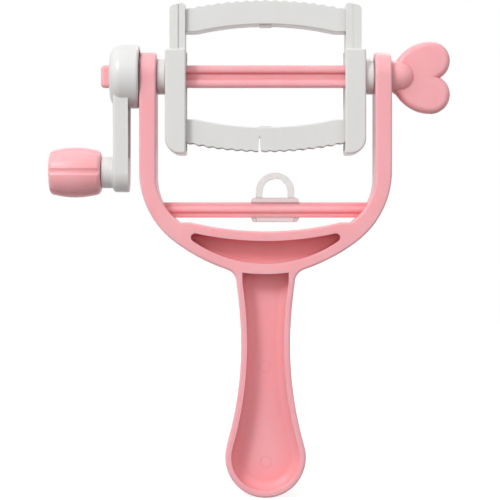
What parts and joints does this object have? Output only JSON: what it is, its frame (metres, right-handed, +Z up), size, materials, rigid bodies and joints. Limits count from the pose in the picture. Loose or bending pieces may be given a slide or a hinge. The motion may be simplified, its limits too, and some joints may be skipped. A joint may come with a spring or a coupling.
{
  "type": "pom pom maker",
  "caption": "Hand-held pom pom maker: forked handle, cranked winding frame with toothed bows, pull-out keyed shaft with a heart knob, and a yarn guide sliding on a cross bar.",
  "frame": {"origin": "middle of the hand grip, on the handle's axis", "axes": "+Z up the handle to the winding frame, +X along the winding shaft from the crank to the heart knob, +Y to the back"},
  "size_m": [0.1598, 0.0254, 0.1971],
  "materials": {
    "pink_plastic": "soft satin pink moulding",
    "white_plastic": "off-white satin moulding",
    "frosted_plastic": "frosted translucent moulding",
    "steel": "zinc-plated steel"
  },
  "bodies": {
    "yoke": {"yoke_handle": "pink_plastic"},
    "winding_head": {"crank": "white_plastic", "left_bush": "white_plastic", "right_bush": "white_plastic", "left_post": "white_plastic", "right_post": "white_plastic", "lower_bow": "white_plastic", "knob_screw": "steel", "knob_washer": "steel"},
    "knob": {"crank_knob": "pink_plastic"},
    "shaft": {"heart_shaft": "pink_plastic"},
    "lift_bow": {"upper_bow": "white_plastic"},
    "guide": {"yarn_guide": "frosted_plastic"}
  },
  "joints": [
    {"name": "winding_spin", "type": "hinge", "parent": "yoke", "child": "winding_head", "pos_m": [0, 0, 0.123], "axis": [1, 0, 0], "continuous": true},
    {"name": "knob_spin", "type": "hinge", "parent": "winding_head", "child": "knob", "pos_m": [-0.076, 0, 0.0847], "axis": [1, 0, 0], "continuous": true},
    {"name": "shaft_pull", "type": "slide", "parent": "winding_head", "child": "shaft", "axis": [1, 0, 0], "range_m": [0, 0.116]},
    {"name": "bow_lift", "type": "slide", "parent": "winding_head", "child": "lift_bow", "axis": [0, 0, 1], "range_m": [0, 0.0075]},
    {"name": "guide_slide", "type": "slide", "parent": "yoke", "child": "guide", "axis": [1, 0, 0], "range_m": [-0.0215, 0.014]}
  ]
}
